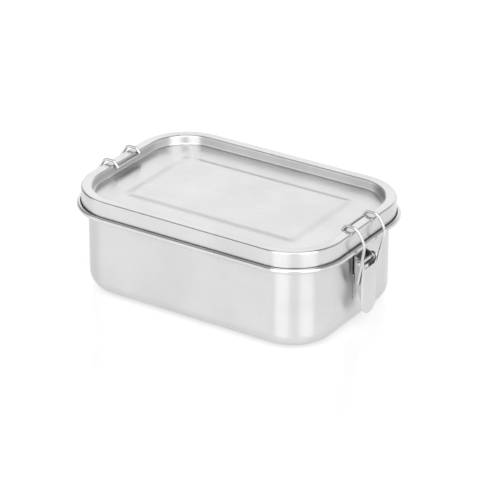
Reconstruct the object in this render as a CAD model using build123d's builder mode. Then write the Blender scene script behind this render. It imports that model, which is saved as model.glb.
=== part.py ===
from build123d import *
import os

# A stainless-steel lunch box: a deep-drawn tray, a lid that presses on a silicone seal,
# and a wire latch on each end.
#
# Millimetres. +X runs along the long side towards the right-hand latch, +Y towards the back, +Z up.
# The origin is on the surface that the box stands on, under the middle of the tray.

# The box as a whole, over the lid's skirt.
LENGTH = 200.0
WIDTH = 135.0
RIM_TOP = 74.0
CORNER_RADIUS = 37.0
SHEET = 0.6
FLAT_OVERLAP = 1.0  # how far a swept edge runs on into the flat that it carries

# The lid: a raised rim, a recess inside it with a raised panel, and a skirt that ends in a rolled hem.
RIM_WIDTH = 8.0
RIM_EDGE_RADIUS = 1.5
RECESS_DEPTH = 6.8
RECESS_FILLET = 1.5
HEM_RADIUS = 1.5
HEM_CENTRE_HEIGHT = 60.9
HEM_TURN = 285
PANEL_LENGTH = 138.0
PANEL_WIDTH = 79.0
PANEL_CORNER = 6.0
PANEL_RISE = 1.0
PANEL_SLOPE = 77

# The tray: its wall stands inside the lid's skirt and ends in a rim rolled outwards.
WALL_INSET = 4.8
BOTTOM_FILLET = 11.0
RIM_ROLL_RADIUS = 1.7
RIM_ROLL_HEIGHT = 68.5
RIM_ROLL_TURN = 290

# The silicone seal that lies in the lid's rim, over the tray's rolled rim.
SEAL_HEIGHT = 2.6
SEAL_SIDE_GAP = 0.1
SEAL_EDGE_RADIUS = 1.5

# The latch at the right-hand end. The left-hand one is the same parts turned half round.
LATCH_SHEET = 0.8
PIVOT_X = 100.2
PIVOT_Z = 48.0
HOOK_X = 100.6
HOOK_Z = 34.2
PIN_RADIUS = 1.25
PIN_HEAD_RADIUS = 2.0
PIN_HEAD_THICKNESS = 0.8
PRESSED_GAP = 0.02
RUNNING_GAP = 0.06
SIDE_GAP = 0.15

BASE_HALF_WIDTH = 7.4
BASE_BOTTOM = 19.8
BASE_TOP = 54.0
BASE_CORNER = 2.5
EAR_ROOT_BOTTOM = 40.0
EAR_ROOT_TOP = 53.0
EAR_RADIUS = 2.9

LEVER_HALF_WIDTH = 9.0
LEVER_FACE_X = 104.0
LEVER_TOP = 44.5
LEVER_BOTTOM = 10.3
LEVER_BEND_RADIUS = 1.3
LEVER_FLANGE_BOTTOM = 20.5
LEVER_WAIST_X = 98.0
LEVER_WAIST_Z = 32.6
LEVER_EAR_TOP = 51.2
LEVER_EAR_RADIUS = 2.6
LEVER_NOTCH_WIDTH = 15.8
LEVER_NOTCH_CORNER = 2.5

# The wire's corners on its way up, each as (x, z), and the radii of its bends, from its end to its bar.
WIRE_RADIUS = 1.0
WIRE_END_LENGTH = 2.7
WIRE_END_Y = 10.25
WIRE_BOW_Y = 13.2
WIRE_TOP_Y = 13.3
WIRE_BOW = (107.3, 66.0)
WIRE_CROWN = (100.6, 76.4)
WIRE_RISE = (92.9, 76.4)
WIRE_BAR = (89.7, 72.1)
WIRE_BENDS = [1.3, 12, 5, 2.5, 1.6]


def outline(inset, height):
    """The box's rounded plan outline, moved in by inset, as a closed wire."""
    with BuildSketch(Plane.XY.offset(height)) as plan:
        RectangleRounded(LENGTH - 2 * inset, WIDTH - 2 * inset, CORNER_RADIUS - inset)
    return plan.sketch.face().outer_wire()


def section_plane(path):
    """The plane across path's start: local x runs in to the box's middle, local y up from the floor."""
    along = path % 0
    start = path @ 0
    return Plane(
        origin=(start.X, start.Y, 0), x_dir=Vector(0, 0, 1).cross(along), z_dir=along
    )


def make_tray():
    """One sheet: rolled rim, upright wall, rounded bottom edge and flat floor."""
    middle = WALL_INSET + SHEET / 2
    floor_inset = WALL_INSET + BOTTOM_FILLET + FLAT_OVERLAP
    path = outline(0, 0)
    with BuildPart() as tray:
        with BuildSketch(section_plane(path)):
            with BuildLine():
                FilletPolyline(
                    (floor_inset, SHEET / 2),
                    (middle, SHEET / 2),
                    (middle, RIM_ROLL_HEIGHT),
                    radius=BOTTOM_FILLET - SHEET / 2,
                )
                CenterArc(
                    (middle - RIM_ROLL_RADIUS, RIM_ROLL_HEIGHT),
                    RIM_ROLL_RADIUS,
                    0,
                    RIM_ROLL_TURN,
                )
            trace(line_width=SHEET)
        sweep(path=path)
        with BuildSketch(Plane.XY):
            RectangleRounded(
                LENGTH - 2 * floor_inset,
                WIDTH - 2 * floor_inset,
                CORNER_RADIUS - floor_inset,
            )
        extrude(amount=SHEET)
    return tray


def make_lid():
    """One sheet: rolled hem, skirt, rim, recess wall, recess floor and raised panel."""
    skirt = SHEET / 2
    top = RIM_TOP - SHEET / 2
    wall = RIM_WIDTH - SHEET / 2
    floor_top = RIM_TOP - RECESS_DEPTH
    floor_inset = RIM_WIDTH + RECESS_FILLET + FLAT_OVERLAP
    path = outline(0, 0)
    with BuildPart() as lid:
        with BuildSketch(section_plane(path)):
            with BuildLine():
                CenterArc(
                    (skirt - HEM_RADIUS, HEM_CENTRE_HEIGHT), HEM_RADIUS, 0, -HEM_TURN
                )
                FilletPolyline(
                    (skirt, HEM_CENTRE_HEIGHT),
                    (skirt, top),
                    (wall, top),
                    (wall, floor_top - SHEET / 2),
                    (floor_inset, floor_top - SHEET / 2),
                    radius=[
                        RIM_EDGE_RADIUS - SHEET / 2,
                        RIM_EDGE_RADIUS - SHEET / 2,
                        RECESS_FILLET + SHEET / 2,
                    ],
                )
            trace(line_width=SHEET)
        sweep(path=path)
        with BuildSketch(Plane.XY.offset(floor_top - SHEET)):
            RectangleRounded(
                LENGTH - 2 * floor_inset,
                WIDTH - 2 * floor_inset,
                CORNER_RADIUS - floor_inset,
            )
        extrude(amount=SHEET)
        with BuildSketch(Plane.XY.offset(floor_top)):
            RectangleRounded(PANEL_LENGTH, PANEL_WIDTH, PANEL_CORNER)
        extrude(amount=PANEL_RISE, taper=PANEL_SLOPE)
        with BuildSketch(Plane.XY.offset(floor_top - SHEET)):
            RectangleRounded(PANEL_LENGTH, PANEL_WIDTH, PANEL_CORNER)
        extrude(amount=PANEL_RISE, taper=PANEL_SLOPE, mode=Mode.SUBTRACT)
    return lid


def make_seal():
    """A flat ring that fills the top of the lid's rim."""
    outer = SHEET + SEAL_SIDE_GAP
    inner = RIM_WIDTH - SHEET - SEAL_SIDE_GAP
    with BuildPart() as seal:
        with BuildSketch(Plane.XY.offset(RIM_TOP - SHEET)):
            RectangleRounded(
                LENGTH - 2 * outer, WIDTH - 2 * outer, CORNER_RADIUS - outer
            )
            RectangleRounded(
                LENGTH - 2 * inner,
                WIDTH - 2 * inner,
                CORNER_RADIUS - inner,
                mode=Mode.SUBTRACT,
            )
        extrude(amount=-SEAL_HEIGHT)
        fillet(seal.faces().sort_by(Axis.Z)[-1].edges(), SEAL_EDGE_RADIUS)
    return seal


def side_plates(half_width, thickness):
    """The planes of two upright plates, one at each side, whose outer faces are at +-half_width."""
    return Plane.XZ.offset(half_width - thickness), Plane.XZ.offset(-half_width)


def make_latch_base():
    """A plate welded flat to the tray's end wall, with two ears that hold the pivot pin."""
    wall_x = LENGTH / 2 - WALL_INSET
    with BuildPart() as base:
        with BuildSketch(Plane.YZ.offset(wall_x)):
            with Locations((0, (BASE_BOTTOM + BASE_TOP) / 2)):
                RectangleRounded(
                    2 * BASE_HALF_WIDTH, BASE_TOP - BASE_BOTTOM, BASE_CORNER
                )
        extrude(amount=LATCH_SHEET)
        for plane in side_plates(BASE_HALF_WIDTH, LATCH_SHEET):
            with BuildSketch(plane):
                with BuildLine():
                    Line((wall_x, EAR_ROOT_BOTTOM), (wall_x, EAR_ROOT_TOP))
                    CenterArc((PIVOT_X, PIVOT_Z), EAR_RADIUS, -90, 180)
                make_hull()
                with Locations((PIVOT_X, PIVOT_Z)):
                    Circle(PIN_RADIUS + PRESSED_GAP, mode=Mode.SUBTRACT)
            extrude(amount=LATCH_SHEET)
    return base


def make_latch_pin():
    """A round pin with a head on each end, outside the lever's two flanges."""
    shank = LEVER_HALF_WIDTH + SIDE_GAP
    with BuildPart() as pin:
        with BuildSketch(Plane.XZ):
            with Locations((PIVOT_X, PIVOT_Z)):
                Circle(PIN_RADIUS)
        extrude(amount=shank, both=True)
        for plane in side_plates(shank + PIN_HEAD_THICKNESS, PIN_HEAD_THICKNESS):
            with BuildSketch(plane):
                with Locations((PIVOT_X, PIVOT_Z)):
                    Circle(PIN_HEAD_RADIUS)
            extrude(amount=PIN_HEAD_THICKNESS)
        ends = pin.edges().filter_by(GeomType.CIRCLE).group_by(Axis.Y)
        fillet(ends[0] + ends[-1], PIN_HEAD_THICKNESS / 2)
    return pin


def lever_side_outline():
    """The lever from its side: the tab's straight edge, and the flange's round top and tapered tail."""
    tab_back = LEVER_FACE_X - LATCH_SHEET
    with BuildSketch(Plane.XZ) as outline_from_side:
        with BuildLine():
            Polyline(
                (LEVER_FACE_X, LEVER_FLANGE_BOTTOM),
                (LEVER_FACE_X, LEVER_EAR_TOP),
                (PIVOT_X - EAR_RADIUS, LEVER_EAR_TOP),
                (LEVER_WAIST_X, LEVER_WAIST_Z),
                (tab_back, LEVER_FLANGE_BOTTOM),
                close=True,
            )
        make_face()
        fillet(outline_from_side.vertices().group_by(Axis.Y)[-1], LEVER_EAR_RADIUS)
        with BuildLine():
            Polyline(
                (LEVER_FACE_X, LEVER_BOTTOM),
                (LEVER_FACE_X, LEVER_TOP),
                (tab_back, LEVER_TOP),
                (tab_back, LEVER_BOTTOM),
                close=True,
            )
        make_face()
    return outline_from_side


def lever_front_outline():
    """The lever seen from its front: a round tab end, straight sides, and a notch between the two ears."""
    middle = (LEVER_BOTTOM + LEVER_HALF_WIDTH + LEVER_EAR_TOP) / 2
    height = LEVER_EAR_TOP - LEVER_BOTTOM - LEVER_HALF_WIDTH
    with BuildSketch(Plane.YZ) as outline_from_front:
        with Locations((0, LEVER_BOTTOM + LEVER_HALF_WIDTH)):
            Circle(LEVER_HALF_WIDTH)
        with Locations((0, middle)):
            Rectangle(2 * LEVER_HALF_WIDTH, height)
        with Locations((0, LEVER_TOP + LEVER_NOTCH_WIDTH)):
            RectangleRounded(
                LEVER_NOTCH_WIDTH,
                2 * LEVER_NOTCH_WIDTH,
                LEVER_NOTCH_CORNER,
                mode=Mode.SUBTRACT,
            )
    return outline_from_front


def make_latch_lever():
    """A flat thumb tab whose upper half is folded into two flanges, for the pin and for the wire's ends."""
    side = LEVER_HALF_WIDTH - LATCH_SHEET / 2
    face = LEVER_FACE_X - LATCH_SHEET / 2
    back = PIVOT_X - 2 * PIN_HEAD_RADIUS
    through = 2 * LEVER_HALF_WIDTH
    side_outline = lever_side_outline().sketch
    front_outline = lever_front_outline().sketch
    with BuildPart() as lever:
        with BuildSketch(Plane.XY.offset(LEVER_BOTTOM)):
            with BuildLine():
                FilletPolyline(
                    (back, side),
                    (face, side),
                    (face, -side),
                    (back, -side),
                    radius=LEVER_BEND_RADIUS - LATCH_SHEET / 2,
                )
            trace(line_width=LATCH_SHEET)
        extrude(amount=LEVER_EAR_TOP - LEVER_BOTTOM)
        extrude(side_outline, amount=through, both=True, mode=Mode.INTERSECT)
        extrude(front_outline, amount=LENGTH, mode=Mode.INTERSECT)
        with BuildSketch(Plane.XZ):
            with Locations((PIVOT_X, PIVOT_Z)):
                Circle(PIN_RADIUS + RUNNING_GAP)
            with Locations((HOOK_X, HOOK_Z)):
                Circle(WIRE_RADIUS + RUNNING_GAP)
        extrude(amount=through, both=True, mode=Mode.SUBTRACT)
    return lever


def make_latch_bail():
    """One bent wire: a bar inside the lid's rim, two arms round the hem, and two ends in the lever."""
    half = [
        (HOOK_X, WIRE_END_Y - WIRE_END_LENGTH, HOOK_Z),
        (HOOK_X, WIRE_END_Y, HOOK_Z),
        (WIRE_BOW[0], WIRE_BOW_Y, WIRE_BOW[1]),
        (WIRE_CROWN[0], WIRE_TOP_Y, WIRE_CROWN[1]),
        (WIRE_RISE[0], WIRE_TOP_Y, WIRE_RISE[1]),
        (WIRE_BAR[0], WIRE_TOP_Y, WIRE_BAR[1]),
    ]
    other_half = [(x, -y, z) for x, y, z in reversed(half)]
    with BuildPart() as bail:
        with BuildLine():
            wire = FilletPolyline(
                *half, *other_half, radius=WIRE_BENDS + WIRE_BENDS[::-1]
            )
        with BuildSketch(Plane(origin=wire @ 0, z_dir=wire % 0)):
            Circle(WIRE_RADIUS)
        sweep(path=wire)
    return bail


def turned_half_round(piece):
    """The same piece at the box's other end."""
    with BuildPart() as other:
        add(piece.part, rotation=(0, 0, 180))
    return other


def write(piece, name):
    piece.part.label = name
    export_step(piece.part, f"parts/{name}.step")


os.makedirs("parts", exist_ok=True)
write(make_tray(), "tray")
write(make_lid(), "lid")
write(make_seal(), "seal")

LATCH_PIECES = {
    "latch_base": make_latch_base(),
    "latch_pin": make_latch_pin(),
    "latch_lever": make_latch_lever(),
    "latch_bail": make_latch_bail(),
}
for latch_name, latch_piece in LATCH_PIECES.items():
    write(latch_piece, f"right_{latch_name}")
    write(turned_half_round(latch_piece), f"left_{latch_name}")
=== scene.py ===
"""A stainless-steel lunch box with a wire latch on each end, in a plain pale studio."""

import math

import bmesh
import bpy
from mathutils import Matrix, Vector


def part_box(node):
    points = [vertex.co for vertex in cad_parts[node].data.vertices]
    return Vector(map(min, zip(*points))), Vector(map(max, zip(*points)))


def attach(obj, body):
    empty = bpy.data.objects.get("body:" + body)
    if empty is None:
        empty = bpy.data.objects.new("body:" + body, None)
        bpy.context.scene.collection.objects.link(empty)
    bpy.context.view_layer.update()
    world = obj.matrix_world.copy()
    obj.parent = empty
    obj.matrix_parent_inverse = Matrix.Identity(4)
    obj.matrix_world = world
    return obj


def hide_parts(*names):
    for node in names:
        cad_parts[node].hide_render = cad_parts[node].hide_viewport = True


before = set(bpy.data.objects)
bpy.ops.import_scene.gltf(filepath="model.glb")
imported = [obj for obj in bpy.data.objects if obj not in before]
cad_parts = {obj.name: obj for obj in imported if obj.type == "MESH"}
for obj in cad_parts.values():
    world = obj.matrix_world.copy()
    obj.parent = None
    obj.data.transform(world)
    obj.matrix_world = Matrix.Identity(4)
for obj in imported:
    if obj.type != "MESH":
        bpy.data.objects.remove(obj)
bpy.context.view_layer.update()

MM = 0.001
MICRON = 0.001 * MM

# ---------------------------------------------------------------- sizes, in millimetres, from the frame


def corner_mm(node, high):
    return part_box(node)[1 if high else 0] / MM


SHEET = 0.6
HEM_RADIUS = 1.5
HEM_OUTREACH = 2 * HEM_RADIUS
LID_HIGH = corner_mm("lid", True)
LID_LOW = corner_mm("lid", False)
HALF_LENGTH = LID_HIGH.x - HEM_OUTREACH
HALF_WIDTH = LID_HIGH.y - HEM_OUTREACH
CORNER_RADIUS = 37.0
RIM_TOP = LID_HIGH.z
RIM_WIDTH = 8.0
RIM_EDGE_RADIUS = 1.5
RIM_CROWN = 0.1
RECESS_DEPTH = 6.8
RECESS_FILLET = 1.5
HEM_CENTRE_Z = LID_LOW.z + HEM_RADIUS + SHEET / 2
HEM_TURN = 285
PANEL_HALF_LENGTH = 69.0
PANEL_HALF_WIDTH = 39.5
PANEL_CORNER = 6.0
PANEL_RISE = 1.0
PANEL_SLOPE_WIDTH = 6.2
PANEL_END_SPREAD = 0.5

RIM_ROLL_RADIUS = 1.7
RIM_ROLL_TURN = 290
RIM_ROLL_Z = corner_mm("tray", True).z - RIM_ROLL_RADIUS - SHEET / 2
WALL_INSET = 4.8
WALL_X = HALF_LENGTH - WALL_INSET
BOTTOM_FILLET = 11.0

LATCH_SHEET = 0.8
PIVOT = (corner_mm("right_latch_pin", True) + corner_mm("right_latch_pin", False)) / 2
PIN_END_Y = corner_mm("right_latch_pin", True).y
PIN_RADIUS = 1.25
PIN_HEAD_RADIUS = 2.0
PIN_HEAD_HEIGHT = 0.8

LEVER_LOW = corner_mm("right_latch_lever", False)
LEVER_HIGH = corner_mm("right_latch_lever", True)
LEVER_BEND = 1.3
LEVER_TOP = 44.5

BASE_LOW = corner_mm("right_latch_base", False)
BASE_HIGH = corner_mm("right_latch_base", True)
BASE_BEND = 1.2

HOOK = Vector((100.6, 0.0, 34.2))
# The wire's corners on its way up, each as (x, z), and the radii of its bends, from its end to its bar.
WIRE_RADIUS = 1.0
WIRE_END_LENGTH = 2.7
WIRE_END_Y = 10.25
WIRE_BOW_Y = 13.2
WIRE_TOP_Y = 13.3
WIRE_BOW = (107.3, 66.0)
WIRE_CROWN = (100.6, 76.4)
WIRE_RISE = (92.9, 76.4)
WIRE_BAR = (89.7, 72.1)
WIRE_BENDS = [1.3, 12, 5, 2.5, 1.6]

CORNER_STEPS = 28

# ---------------------------------------------------------------- outlines and meshes


def rounded(points, radii, steps=7):
    """The polyline through points with each inner corner rounded to its radius. Works in 2-D and 3-D."""
    points = [Vector(p).to_3d() for p in points]
    line = [points[0]]
    for before, corner, after, radius in zip(points, points[1:], points[2:], radii):
        come = (corner - before).normalized()
        go = (after - corner).normalized()
        turn = come.angle(go)
        if turn < 1e-4 or radius <= 0:
            line.append(corner)
            continue
        start = corner - come * radius * math.tan(turn / 2)
        centre = corner + (go - come).normalized() * radius / math.cos(turn / 2)
        for k in range(steps + 1):
            angle = turn * k / steps
            line.append(
                centre + (start - centre) * math.cos(angle) + come * radius * math.sin(angle)
            )
    line.append(points[-1])
    return line


def arc(centre, radius, start, turn, steps):
    """Points on an arc in the plane, with angles in degrees."""
    angles = [math.radians(start + turn * k / steps) for k in range(steps + 1)]
    return [
        Vector((centre[0] + radius * math.cos(a), centre[1] + radius * math.sin(a), 0)) for a in angles
    ]


def thickened(line, thickness, cap_steps=5):
    """The outline of a sheet along an open plane line: one side, a round end, and back on the other."""
    half = thickness / 2
    left, right = [], []
    for k, point in enumerate(line):
        before = line[max(k - 1, 0)]
        after = line[min(k + 1, len(line) - 1)]
        along = (after - before).normalized()
        across = Vector((-along.y, along.x, 0))
        left.append(point + across * half)
        right.append(point - across * half)
    along = (line[-1] - line[-2]).normalized()
    across = Vector((-along.y, along.x, 0))
    cap = [
        line[-1] + (across * math.cos(a) + along * math.sin(a)) * half
        for a in [math.pi * k / cap_steps for k in range(1, cap_steps)]
    ]
    return left + cap + right[::-1]


def without_repeats(line):
    kept = [line[0]]
    for point in line[1:]:
        if (point - kept[-1]).length > 1e-4:
            kept.append(point)
    return kept


def link(name, mesh):
    piece = bpy.data.objects.new(name, mesh)
    bpy.context.scene.collection.objects.link(piece)
    return piece


def smooth_mesh(mesh, sharp_degrees=50):
    """Smooth shading whose normals follow the large faces, so that flats stay flat beside rounded edges."""
    for face in mesh.polygons:
        face.use_smooth = True
    mesh.set_sharp_from_angle(angle=math.radians(sharp_degrees))
    holder = link("normals_holder", mesh)
    holder.modifiers.new("weighted", "WEIGHTED_NORMAL").keep_sharp = True
    depsgraph = bpy.context.evaluated_depsgraph_get()
    done = bpy.data.meshes.new_from_object(holder.evaluated_get(depsgraph), depsgraph=depsgraph)
    bpy.data.objects.remove(holder)
    return done


def ring(half_x, half_y, radius, z):
    """A rounded rectangle's points, anticlockwise from above."""
    points = []
    for quarter, (sx, sy) in enumerate(((1, 1), (-1, 1), (-1, -1), (1, -1))):
        for k in range(CORNER_STEPS + 1):
            angle = math.pi / 2 * (quarter + k / CORNER_STEPS)
            points.append(
                Vector(
                    (
                        sx * (half_x - radius) + radius * math.cos(angle),
                        sy * (half_y - radius) + radius * math.sin(angle),
                        z,
                    )
                )
            )
    return points


def box_ring(inset, z):
    return ring(HALF_LENGTH - inset, HALF_WIDTH - inset, CORNER_RADIUS - inset, z)


def skin(name, rings, capped=True):
    """A closed mesh through a list of equal rings, with its first and last ring filled."""
    bm = bmesh.new()
    rows = [[bm.verts.new(p * MM) for p in points] for points in rings]
    count = len(rings[0])
    for row, after in zip(rows, rows[1:]):
        for k in range(count):
            n = (k + 1) % count
            bm.faces.new((row[k], row[n], after[n], after[k]))
    if capped:
        bm.faces.new(rows[0][::-1])
        bm.faces.new(rows[-1])
    else:
        for k in range(count):
            n = (k + 1) % count
            bm.faces.new((rows[-1][k], rows[-1][n], rows[0][n], rows[0][k]))
    bmesh.ops.recalc_face_normals(bm, faces=bm.faces)
    mesh = bpy.data.meshes.new(name)
    bm.to_mesh(mesh)
    bm.free()
    return smooth_mesh(mesh)


def grained(mesh, rings, flat_inset, satin_insets=(0, 0)):
    """Stores the brushing's direction: round the box, and along its length further in than flat_inset.

    The sheet between the two satin_insets is marked as satin: the polishing wheel does not reach it.
    """
    directions, satin = [], []
    for points in rings:
        inset = HALF_LENGTH - max(p.x for p in points)
        flat = inset > flat_inset
        satin.extend([float(satin_insets[0] < inset < satin_insets[1])] * len(points))
        for before, after in zip(points[-1:] + points[:-1], points[1:] + points[:1]):
            directions.extend((1, 0, 0) if flat else (after - before).normalized())
    grain = mesh.attributes.new("grain", "FLOAT_VECTOR", "POINT")
    grain.data.foreach_set("vector", directions)
    mesh.attributes.new("satin", "FLOAT", "POINT").data.foreach_set("value", satin)
    return mesh


# ---------------------------------------------------------------- the tray, the lid and the seal


def tray_mesh():
    """Rolled rim, upright wall, rounded bottom edge and flat floor, as one sheet."""
    middle = WALL_INSET + SHEET / 2
    floor_inset = WALL_INSET + BOTTOM_FILLET + 4
    line = rounded(
        [
            (floor_inset, SHEET / 2),
            (floor_inset - 2, SHEET / 2),
            (middle, SHEET / 2),
            (middle, RIM_ROLL_Z - 0.5),
            (middle, RIM_ROLL_Z),
        ],
        [0, BOTTOM_FILLET - SHEET / 2, 0],
        steps=12,
    )
    line += arc((middle - RIM_ROLL_RADIUS, RIM_ROLL_Z), RIM_ROLL_RADIUS, 0, RIM_ROLL_TURN, 22)
    outline = thickened(without_repeats(line), SHEET)
    rings = [box_ring(p.x, p.y) for p in outline]
    return grained(skin("tray", rings), rings, WALL_INSET + BOTTOM_FILLET)


def panel_rings(lift):
    """Rings of the lid's raised panel, from its foot to its flat top, moved up by lift."""
    floor = RIM_TOP - RECESS_DEPTH + lift
    rings = []
    foot_run = 0.2
    corner_shrink = 0.8
    top_corner = 2
    slope = PANEL_SLOPE_WIDTH
    steps = 14
    for k in range(steps + 1):
        t = k / steps
        inset = slope * t - foot_run
        radius = PANEL_CORNER + foot_run - corner_shrink * (inset + foot_run)
        half_x = PANEL_HALF_LENGTH + PANEL_END_SPREAD * (slope / 2 - foot_run - inset) - inset
        half_y = PANEL_HALF_WIDTH - inset
        rings.append(ring(half_x, half_y, radius, floor + PANEL_RISE * t * t * (3 - 2 * t)))
    third = PANEL_HALF_WIDTH / 3
    for extra in (top_corner, third, 2 * third):
        half_x = PANEL_HALF_LENGTH - PANEL_END_SPREAD * slope / 2 - slope - extra
        half_y = PANEL_HALF_WIDTH - slope - extra
        rings.append(ring(half_x, half_y, top_corner, floor + PANEL_RISE))
    return rings


def lid_mesh():
    """Hem, skirt, rim, recess wall, recess floor and raised panel, as one sheet."""
    skirt = SHEET / 2
    top = RIM_TOP - SHEET / 2
    wall = RIM_WIDTH - SHEET / 2
    floor = RIM_TOP - RECESS_DEPTH - SHEET / 2
    floor_inset = RIM_WIDTH + RECESS_FILLET + 3
    edge = RIM_EDGE_RADIUS - SHEET / 2

    # the rim is slightly crowned
    half = (wall - skirt) / 2 - edge
    crown = [
        ((wall + skirt) / 2 - half * t, top - RIM_CROWN * t * t) for t in (-1, -0.6, -0.2, 0.2, 0.6, 1)
    ]
    shoulder = RIM_CROWN * (1 + 2 * edge / half)
    line = rounded(
        [
            (floor_inset, floor),
            (floor_inset - 2, floor),
            (wall, floor),
            (wall, top - shoulder),
            *crown,
            (skirt, top - shoulder),
            (skirt, HEM_CENTRE_Z + 0.6),
            (skirt, HEM_CENTRE_Z),
        ],
        [0, RECESS_FILLET + SHEET / 2, edge, *[0] * len(crown), edge, 0],
        steps=8,
    )
    line += arc((skirt - HEM_RADIUS, HEM_CENTRE_Z), HEM_RADIUS, 0, -HEM_TURN, 18)
    outline = thickened(without_repeats(line), SHEET)
    rings = [box_ring(p.x, p.y) for p in outline]
    if outline[0].y > outline[-1].y:
        above, below = panel_rings(0), panel_rings(-SHEET)
    else:
        above, below = panel_rings(-SHEET), panel_rings(0)
    rings = above[::-1] + rings + below
    upright = (RIM_WIDTH - RIM_EDGE_RADIUS / 3, RIM_WIDTH + RECESS_FILLET / 5)
    return grained(skin("lid", rings), rings, RIM_WIDTH + RECESS_FILLET, upright)


def seal_mesh():
    """A silicone ring with a flat back against the lid and two soft ribs towards the tray's rim."""
    low, high = corner_mm("seal", False).z, corner_mm("seal", True).z
    outer = HALF_LENGTH - corner_mm("seal", True).x
    inner = RIM_WIDTH - SHEET - (outer - SHEET)
    middle = (inner + outer) / 2
    outline = rounded(
        [
            (middle, high),
            (inner, high),
            (inner, low),
            (middle + 1.6, low),
            (middle + 0.8, low + 0.5),
            (middle - 0.8, low + 0.5),
            (middle - 1.6, low),
            (outer, low),
            (outer, high),
            (middle, high),
        ],
        [1.5, 0.5, 0.3, 0.4, 0.4, 0.3, 0.5, 1.5],
        steps=5,
    )
    outline = without_repeats(outline)[:-1]
    return skin("seal", [box_ring(p.x, p.y) for p in outline], capped=False)


# ---------------------------------------------------------------- the latch


def cut_sheet(outline, holes, thickness, edge=0.13):
    """A flat blank in x and y with rounded edges and round holes. z runs through its thickness."""
    curve = bpy.data.curves.new("blank", "CURVE")
    curve.dimensions = "2D"
    curve.fill_mode = "BOTH"
    curve.extrude = thickness / 2 - edge
    curve.bevel_depth = edge
    curve.bevel_resolution = 2
    curve.offset = -edge
    loops = [outline] + [arc(centre, radius, 0, 360, 32)[:-1] for centre, radius in holes]
    for loop in loops:
        spline = curve.splines.new("POLY")
        spline.points.add(len(loop) - 1)
        for point, place in zip(spline.points, loop):
            point.co = (place.x, place.y, 0, 1)
        spline.use_cyclic_u = True
    holder = bpy.data.objects.new("blank", curve)
    mesh = bpy.data.meshes.new_from_object(holder)
    bpy.data.objects.remove(holder)
    bm = bmesh.new()
    bm.from_mesh(mesh)
    bmesh.ops.remove_doubles(bm, verts=bm.verts, dist=1e-4)
    return bm


def scored(bm, places):
    """Cuts the blank along lines of constant x, so that it can bend there."""
    for x in places:
        geometry = bm.verts[:] + bm.edges[:] + bm.faces[:]
        bmesh.ops.bisect_plane(bm, geom=geometry, dist=1e-5, plane_co=(x, 0, 0), plane_no=(1, 0, 0))
    return bm


def bend_places(start, radius, steps=6):
    length = radius * math.pi / 2
    places = [start + length * k / steps for k in range(steps + 1)]
    return [-x for x in places] + places


def folded(flat_x, thickness_place, start, radius, thickness):
    """Where a point of the blank goes when both sides are folded up, as (across, up from the flat)."""
    side = 1 if flat_x >= 0 else -1
    middle_radius = radius - thickness / 2
    beyond = abs(flat_x) - start
    own_radius = radius - thickness_place
    if beyond <= 0:
        return flat_x, thickness_place
    angle = beyond / middle_radius
    if angle < math.pi / 2:
        return (
            side * (start + own_radius * math.sin(angle)),
            radius - own_radius * math.cos(angle),
        )
    straight = beyond - middle_radius * math.pi / 2
    return side * (start + own_radius), radius + straight


def finished(bm, name):
    bmesh.ops.recalc_face_normals(bm, faces=bm.faces)
    mesh = bpy.data.meshes.new(name)
    bm.to_mesh(mesh)
    bm.free()
    return smooth_mesh(mesh)


def mirrored_outline(points, radii, steps=6):
    """A closed outline from its right half, which runs from the bottom's middle to the top's middle."""
    half = rounded(points, radii, steps)
    other = [Vector((-p.x, p.y, 0)) for p in half[::-1]]
    return without_repeats(half + other[1:-1])


def lever_mesh():
    """The lever: a thumb tab whose upper half is folded back into two flanges."""
    face_x = LEVER_HIGH.x
    fold = LEVER_HIGH.y - LEVER_BEND
    middle_radius = LEVER_BEND - LATCH_SHEET / 2
    tab = fold + middle_radius * 1.18
    tab_top = 21.0
    bottom = LEVER_LOW.z
    ear_top = LEVER_HIGH.z
    notch = 7.9

    def flat_of(x):
        return fold + middle_radius * math.pi / 2 + (face_x - LEVER_BEND - x)

    outline = mirrored_outline(
        [
            (0, bottom),
            (tab, bottom),
            (tab, tab_top),
            (flat_of(HOOK.x - 2.6), HOOK.z - 1.6),
            (flat_of(PIVOT.x - 2.9), ear_top),
            (notch, ear_top),
            (notch, LEVER_TOP),
            (0, LEVER_TOP),
        ],
        [tab - 0.2, 2, 3, 2.6, 2.6, 2.5],
        steps=8,
    )
    holes = []
    for place, radius in ((PIVOT, PIN_RADIUS + 0.06), (HOOK, WIRE_RADIUS + 0.06)):
        for side in (-1, 1):
            holes.append(((side * flat_of(place.x), place.z), radius))
    bm = cut_sheet(outline, holes, LATCH_SHEET)
    scored(bm, bend_places(fold, middle_radius))
    for v in bm.verts:
        across, depth = folded(v.co.x, v.co.z + LATCH_SHEET / 2, fold, LEVER_BEND, LATCH_SHEET)
        v.co = Vector((face_x - depth, across, v.co.y)) * MM
    return finished(bm, "lever")


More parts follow.
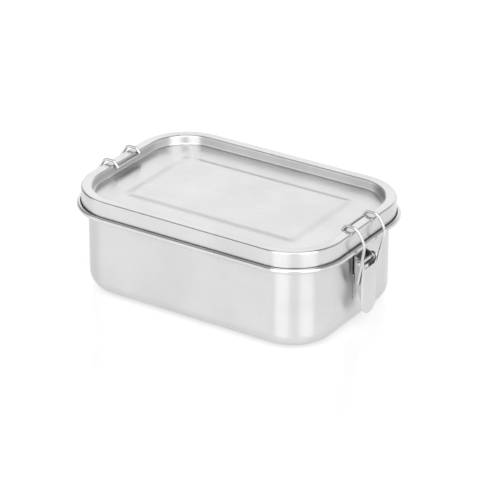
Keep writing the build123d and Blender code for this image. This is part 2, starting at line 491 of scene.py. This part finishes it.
def base_mesh():
    """The bracket: a plate on the tray's end wall, with two ears folded out round the pin."""
    fold = BASE_HIGH.y - BASE_BEND
    middle_radius = BASE_BEND - LATCH_SHEET / 2
    ear_bottom, ear_top = 40.0, 53.0
    relief = 0.8
    half = BASE_HIGH.y
    nose = BASE_HIGH.x

    def flat_of(x):
        return fold + middle_radius * math.pi / 2 + (x - WALL_X - BASE_BEND)

    outline = mirrored_outline(
        [
            (0, BASE_LOW.z),
            (half, BASE_LOW.z),
            (half, ear_bottom - relief),
            (fold - 0.2, ear_bottom - relief),
            (fold - 0.2, ear_bottom),
            (fold + 1.6, ear_bottom + 0.6),
            (flat_of(nose), PIVOT.z - 1.4),
            (flat_of(nose), PIVOT.z + 2.04),
            (fold + 1.6, ear_top - 0.4),
            (fold - 0.2, ear_top),
            (fold - 0.2, BASE_HIGH.z),
            (0, BASE_HIGH.z),
        ],
        [2.5, 0.3, 0.35, 0.35, 0.5, 2.6, 1.9, 0.5, 0.2, 0.3],
        steps=6,
    )
    holes = [((side * flat_of(PIVOT.x), PIVOT.z), PIN_RADIUS + 0.03) for side in (-1, 1)]
    bm = cut_sheet(outline, holes, LATCH_SHEET)
    scored(bm, bend_places(fold, middle_radius))
    for v in bm.verts:
        across, depth = v.co.x, v.co.z + LATCH_SHEET / 2
        if v.co.y > ear_bottom - relief / 2:
            across, depth = folded(across, depth, fold, BASE_BEND, LATCH_SHEET)
        v.co = Vector((WALL_X + depth, across, v.co.y)) * MM
    return finished(bm, "base")


def pin_mesh():
    """A pivot pin with a domed, riveted head at each end."""
    shoulder = PIN_END_Y - PIN_HEAD_HEIGHT
    profile = [
        (shoulder - 0.001, PIN_RADIUS),
        (shoulder, PIN_HEAD_RADIUS - 0.1),
        (shoulder + 0.12, PIN_HEAD_RADIUS),
    ]
    for k in range(7):
        angle = math.pi / 2 * k / 7
        profile.append(
            (
                shoulder + 0.15 + (PIN_HEAD_HEIGHT - 0.15) * math.sin(angle),
                PIN_HEAD_RADIUS * math.cos(angle) ** 0.7,
            )
        )
    profile = [(-y, r) for y, r in profile[::-1]] + [(0, PIN_RADIUS)] + profile
    around = 40
    rings = [
        [
            Vector(
                (
                    PIVOT.x + r * math.cos(2 * math.pi * k / around),
                    y,
                    PIVOT.z + r * math.sin(2 * math.pi * k / around),
                )
            )
            for k in range(around)
        ]
        for y, r in profile
    ]
    return skin("pin", rings)


def bail_route():
    """The wire's middle line, from one bent-in end over the lid's rim and back to the other."""
    half = [
        (HOOK.x, WIRE_END_Y - WIRE_END_LENGTH, HOOK.z),
        (HOOK.x, WIRE_END_Y, HOOK.z),
        (WIRE_BOW[0], WIRE_BOW_Y, WIRE_BOW[1]),
        (WIRE_CROWN[0], WIRE_TOP_Y, WIRE_CROWN[1]),
        (WIRE_RISE[0], WIRE_TOP_Y, WIRE_RISE[1]),
        (WIRE_BAR[0], WIRE_TOP_Y, WIRE_BAR[1]),
    ]
    other = [(x, -y, z) for x, y, z in half[::-1]]
    return without_repeats(rounded(half + other, WIRE_BENDS + WIRE_BENDS[::-1], steps=10))


def bail_mesh():
    """Round wire along the route, with chamfered ends."""
    line = bail_route()
    around = 24
    up = Vector((1, 0, 0))
    rings = []
    for k, place in enumerate(line):
        along = (line[min(k + 1, len(line) - 1)] - line[max(k - 1, 0)]).normalized()
        up = (up - along * up.dot(along)).normalized()
        side = along.cross(up)
        sections = [(0, WIRE_RADIUS)]
        if k == 0:
            sections = [(0, 0.7 * WIRE_RADIUS), (0.25, 0.95 * WIRE_RADIUS), (0.4, WIRE_RADIUS)]
        if k == len(line) - 1:
            sections = [(-0.4, WIRE_RADIUS), (-0.25, 0.95 * WIRE_RADIUS), (0, 0.7 * WIRE_RADIUS)]
        for shift, radius in sections:
            centre = place + along * shift
            rings.append(
                [
                    centre
                    + (up * math.cos(2 * math.pi * n / around) + side * math.sin(2 * math.pi * n / around))
                    * radius
                    for n in range(around)
                ]
            )
    return skin("bail", rings)


# ---------------------------------------------------------------- materials


class Nodes:
    """A small helper for writing a material's node tree."""

    def __init__(self, name):
        self.material = bpy.data.materials.new(name)
        self.material.use_nodes = True
        self.tree = self.material.node_tree
        self.shader = self.tree.nodes["Principled BSDF"]

    def add(self, kind, **values):
        node = self.tree.nodes.new(kind)
        for key, value in values.items():
            if key in node.inputs:
                node.inputs[key].default_value = value
            else:
                setattr(node, key, value)
        return node

    def join(self, source, target):
        self.tree.links.new(source, target)

    def coordinates(self, scale):
        place = self.add("ShaderNodeTexCoord")
        mapping = self.add("ShaderNodeMapping")
        mapping.inputs["Scale"].default_value = scale
        self.join(place.outputs["Object"], mapping.inputs["Vector"])
        return mapping.outputs["Vector"]

    def noise(self, scale, detail=2.0, rough=0.5, stretch=(1, 1, 1)):
        node = self.add("ShaderNodeTexNoise")
        node.inputs["Scale"].default_value = scale
        node.inputs["Detail"].default_value = detail
        node.inputs["Roughness"].default_value = rough
        self.join(self.coordinates(stretch), node.inputs["Vector"])
        return node.outputs["Fac"]

    def ramp(self, source, low, high, out_low, out_high):
        node = self.add("ShaderNodeMapRange")
        node.inputs["From Min"].default_value = low
        node.inputs["From Max"].default_value = high
        node.inputs["To Min"].default_value = out_low
        node.inputs["To Max"].default_value = out_high
        self.join(source, node.inputs["Value"])
        return node.outputs["Result"]

    def mix_colour(self, factor, first, second):
        node = self.add("ShaderNodeMix", data_type="RGBA")
        node.inputs[6].default_value = (*first, 1)
        node.inputs[7].default_value = (*second, 1)
        self.join(factor, node.inputs[0])
        return node.outputs[2]

    def painted_crevice_shade(self, colour, reach, level):
        """Colour, darkened to level times itself in narrow grooves and where parts lie close together:
        painted shade.
        """
        open_sky = self.add("ShaderNodeAmbientOcclusion", samples=6)
        open_sky.inputs["Distance"].default_value = reach
        node = self.add("ShaderNodeMix", data_type="RGBA", blend_type="MULTIPLY")
        node.inputs[0].default_value = 1.0
        self.join(colour, node.inputs[6])
        self.join(self.ramp(open_sky.outputs["AO"], 0.15, 0.75, level, 1.0), node.inputs[7])
        return node.outputs[2]

    def times(self, first, second):
        node = self.add("ShaderNodeMath", operation="MULTIPLY")
        self.join(first, node.inputs[0])
        self.join(second, node.inputs[1])
        return node.outputs[0]

    def satin(self, factor):
        """1 on polished sheet and factor on satin sheet."""
        mark = self.add("ShaderNodeAttribute", attribute_name="satin").outputs["Fac"]
        return self.ramp(mark, 0, 1, 1, factor)

    def grain_direction(self):
        return self.add("ShaderNodeAttribute", attribute_name="grain").outputs["Vector"]

    def bump(self, source, strength, distance, onto=None):
        node = self.add("ShaderNodeBump")
        node.inputs["Strength"].default_value = strength
        node.inputs["Distance"].default_value = distance
        self.join(source, node.inputs["Height"])
        if onto is not None:
            self.join(onto, node.inputs["Normal"])
        return node.outputs["Normal"]


def steel(name, colour, roughness, grain, grain_depth, wave_depth, brushed=0.0, crevice_shade=(0.0025, 0.3)):
    """Stainless steel: fine directional grain, faint clouding and the slight waviness of pressed sheet.

    The depths are in microns. The last argument sets how far in metres painted shade reaches from a groove
    into its sides, and to what level it darkens them.
    """
    n = Nodes(name)
    cloud = n.noise(24, 3, 0.55)
    darker = tuple(0.92 * c for c in colour)
    unshaded_colour = n.mix_colour(n.ramp(cloud, 0.35, 0.65, 0, 1), darker, colour)
    # painted shade: the base colour is darkened in grooves, where parts lie close together and where the
    # tray stands on the floor
    n.join(n.painted_crevice_shade(unshaded_colour, *crevice_shade), n.shader.inputs["Base Color"])
    lines = n.noise(1.0, 4, 0.6, grain)
    sheen = n.ramp(lines, 0.3, 0.7, roughness * 0.88, roughness * 1.14)
    n.join(n.times(sheen, n.satin(1.5)), n.shader.inputs["Roughness"])
    wave = n.bump(n.noise(14, 1, 0.4), 1.0, wave_depth * MICRON)
    n.join(n.bump(lines, 1.0, grain_depth * MICRON, wave), n.shader.inputs["Normal"])
    n.shader.inputs["Metallic"].default_value = 1.0
    if brushed:
        n.shader.inputs["Anisotropic"].default_value = brushed
        n.shader.inputs["Anisotropic Rotation"].default_value = 0.25
        n.join(n.grain_direction(), n.shader.inputs["Tangent"])
    return n.material


def silicone(name):
    """Milky, slightly translucent silicone with a fine moulded mottle."""
    n = Nodes(name)
    mottle = n.noise(90, 3, 0.6)
    n.join(
        n.mix_colour(n.ramp(mottle, 0.3, 0.7, 0, 1), (0.72, 0.74, 0.75), (0.84, 0.85, 0.86)),
        n.shader.inputs["Base Color"],
    )
    n.join(n.ramp(mottle, 0.3, 0.7, 0.42, 0.6), n.shader.inputs["Roughness"])
    n.join(n.bump(n.noise(900, 2), 0.3, 50 * MICRON), n.shader.inputs["Normal"])
    n.shader.inputs["Subsurface Weight"].default_value = 0.15
    n.shader.inputs["Subsurface Scale"].default_value = 0.002
    return n.material


# ---------------------------------------------------------------- putting the pieces in the frame

STEEL = (0.7, 0.7, 0.705)
# The grain is how many streaks there are to a metre along x, y and z.
STEELS = {
    "tray_steel": dict(roughness=0.316, grain=(60, 60, 2500), grain_depth=2, wave_depth=150, brushed=0.83),
    "lid_steel": dict(roughness=0.25, grain=(60, 2500, 2500), grain_depth=0.8, wave_depth=100, brushed=0.77),
    # the latch's painted shade reaches further and goes darker than on the other steels
    "latch_steel": dict(
        roughness=0.2, grain=(900, 900, 120), grain_depth=2, wave_depth=40, crevice_shade=(0.006, 0.12)
    ),
    "wire_steel": dict(roughness=0.1, grain=(500, 500, 500), grain_depth=2, wave_depth=20),
}
MATERIALS = {name: steel(name, STEEL, **look) for name, look in STEELS.items()}
MATERIALS["silicone"] = silicone("silicone")


def place(name, mesh, body, node, slot):
    piece = link(name, mesh)
    mesh.materials.clear()
    mesh.materials.append(MATERIALS[slot])
    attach(piece, body)
    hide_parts(node)
    return piece


def turned(mesh):
    other = mesh.copy()
    other.transform(Matrix.Rotation(math.pi, 4, "Z"))
    return other


place("tray_shell", tray_mesh(), "tray", "tray", "tray_steel")
place("lid_shell", lid_mesh(), "lid", "lid", "lid_steel")
place("seal_ring", seal_mesh(), "lid", "seal", "silicone")

LATCH = (
    ("bracket", base_mesh(), "tray", "latch_base", "latch_steel"),
    ("pivot_pin", pin_mesh(), "tray", "latch_pin", "wire_steel"),
    ("lever_sheet", lever_mesh(), "lever", "latch_lever", "latch_steel"),
    ("wire_bail", bail_mesh(), "bail", "latch_bail", "wire_steel"),
)
for label, mesh, body, node, slot in LATCH:
    for side, own_mesh in (("right", mesh), ("left", turned(mesh))):
        own_body = body if body == "tray" else f"{side}_{body}"
        place(f"{side}_{label}", own_mesh, own_body, f"{side}_{node}", slot)

# ---------------------------------------------------------------- floor, light and camera


def floor_material():
    n = Nodes("pale_floor")
    n.shader.inputs["Base Color"].default_value = (0.31, 0.31, 0.31, 1)
    n.shader.inputs["Emission Color"].default_value = (1, 1, 1, 1)
    n.shader.inputs["Emission Strength"].default_value = 0.66
    n.join(n.ramp(n.noise(6, 2), 0.3, 0.7, 0.14, 0.18), n.shader.inputs["Roughness"])
    n.shader.inputs["Specular IOR Level"].default_value = 0.5
    return n.material


def make_floor():
    mesh = bpy.data.meshes.new("floor")
    far = 6.0
    mesh.from_pydata([(-far, -far, 0), (far, -far, 0), (far, far, 0), (-far, far, 0)], [], [(0, 1, 2, 3)])
    mesh.materials.append(floor_material())
    floor = link("floor", mesh)


def towards(azimuth, elevation):
    """The direction at an azimuth from +X and an elevation, both in degrees."""
    turn, rise = math.radians(azimuth), math.radians(elevation)
    return Vector((math.cos(turn) * math.cos(rise), math.sin(turn) * math.cos(rise), math.sin(rise)))


class Sky:
    """The world's nodes: a strength that depends on the direction looked in."""

    def __init__(self, tree):
        self.tree = tree
        self.tree.nodes.clear()
        self.direction = tree.nodes.new("ShaderNodeTexCoord").outputs["Generated"]

    def along(self, way):
        """How far the direction looked in agrees with way."""
        node = self.tree.nodes.new("ShaderNodeVectorMath")
        node.operation = "DOT_PRODUCT"
        self.tree.links.new(self.direction, node.inputs[0])
        node.inputs[1].default_value = way
        return node.outputs["Value"]

    def step(self, source, low, high, out_low, out_high):
        node = self.tree.nodes.new("ShaderNodeMapRange")
        node.interpolation_type = "SMOOTHSTEP"
        self.tree.links.new(source, node.inputs["Value"])
        node.inputs["From Min"].default_value = low
        node.inputs["From Max"].default_value = high
        node.inputs["To Min"].default_value = out_low
        node.inputs["To Max"].default_value = out_high
        return node.outputs["Result"]

    def times(self, first, second):
        node = self.tree.nodes.new("ShaderNodeMath")
        node.operation = "MULTIPLY"
        self.tree.links.new(first, node.inputs[0])
        self.tree.links.new(second, node.inputs[1])
        return node.outputs[0]

    def dimmed(self, source, azimuth, elevation, inner, outer, level):
        """Source, brought down to level times itself inside a soft-edged round patch."""
        edge, core = math.cos(math.radians(outer)), math.cos(math.radians(inner))
        patch = self.step(self.along(towards(azimuth, elevation)), edge, core, 1.0, level)
        return self.times(source, patch)


def make_world():
    """A pale room: bright low down and behind, dim overhead and at both far sides, white to the eye."""
    world = bpy.data.worlds.new("studio")
    bpy.context.scene.world = world
    world.use_nodes = True
    tree = world.node_tree
    sky = Sky(tree)

    # the dim ceiling reaches lower in front than behind, and the room is brighter behind the box
    ceiling = sky.step(sky.along((0, -0.15, 1)), 0.56, 0.85, 1.0, 0.3)
    strength = sky.times(ceiling, sky.step(sky.along((0, 1, 0)), -0.1, 0.4, 1.15, 1.5))
    strength = sky.times(strength, sky.step(sky.along((0, 0, 1)), 0.05, 0.45, 0.78, 1.07))
    strength = sky.dimmed(strength, 62, 50, 24, 40, 0.4)
    strength = sky.dimmed(strength, 174, 26, 12, 34, 0.3)
    room = tree.nodes.new("ShaderNodeBackground")
    tree.links.new(strength, room.inputs["Strength"])
    seen = tree.nodes.new("ShaderNodeBackground")
    seen.inputs["Color"].default_value = (1, 1, 1, 1)
    seen.inputs["Strength"].default_value = 1.05
    path = tree.nodes.new("ShaderNodeLightPath")
    mix = tree.nodes.new("ShaderNodeMixShader")
    tree.links.new(path.outputs["Is Camera Ray"], mix.inputs[0])
    tree.links.new(room.outputs[0], mix.inputs[1])
    tree.links.new(seen.outputs[0], mix.inputs[2])
    out = tree.nodes.new("ShaderNodeOutputWorld")
    tree.links.new(mix.outputs[0], out.inputs["Surface"])


def make_light(name, place_at, aim, size, power):
    data = bpy.data.lights.new(name, "AREA")
    data.shape = "RECTANGLE"
    data.size, data.size_y = size
    data.energy = power
    light = bpy.data.objects.new(name, data)
    bpy.context.scene.collection.objects.link(light)
    light.location = place_at
    light.rotation_mode = "QUATERNION"
    light.rotation_quaternion = (Vector(aim) - Vector(place_at)).to_track_quat("-Z", "Y")
    return light


CAMERA_WAY = towards(-56.75, 26.07)
CAMERA_DISTANCE = 1.7905
CAMERA_AIM = Vector((1.48, 0, 36.1)) * MM
CAMERA_LENS = 197.9


def make_camera():
    data = bpy.data.cameras.new("camera")
    data.sensor_width = 36
    data.lens = CAMERA_LENS
    camera = bpy.data.objects.new("camera", data)
    bpy.context.scene.collection.objects.link(camera)
    camera.location = CAMERA_AIM + CAMERA_WAY * CAMERA_DISTANCE
    camera.rotation_mode = "QUATERNION"
    camera.rotation_quaternion = (-CAMERA_WAY).to_track_quat("-Z", "Y")
    data.clip_start, data.clip_end = 0.05, 50
    bpy.context.scene.camera = camera


SOFTBOX_DISTANCE = 1.6


def make_softbox(name, azimuth, width, radiance, low=6, high=80):
    """A soft light turned to the box, by the angles in degrees that it spans as the box sees it."""
    middle = (low + high) / 2
    reach = 2 * SOFTBOX_DISTANCE
    size = (
        reach * math.tan(math.radians(width / 2)) * math.cos(math.radians(middle)),
        reach * math.tan(math.radians((high - low) / 2)),
    )
    power = math.pi * size[0] * size[1] * radiance
    make_light(name, towards(azimuth, middle) * SOFTBOX_DISTANCE, (0, 0, 0), size, power)


make_floor()
make_world()
make_softbox("left_softbox", -80, 42.5, 1.8)
make_softbox("right_softbox", -26, 44, 1.8)
make_softbox("side_softbox", -131, 50, 0.5, 12, 44)
make_camera()
bpy.context.scene.view_settings.view_transform = "Standard"
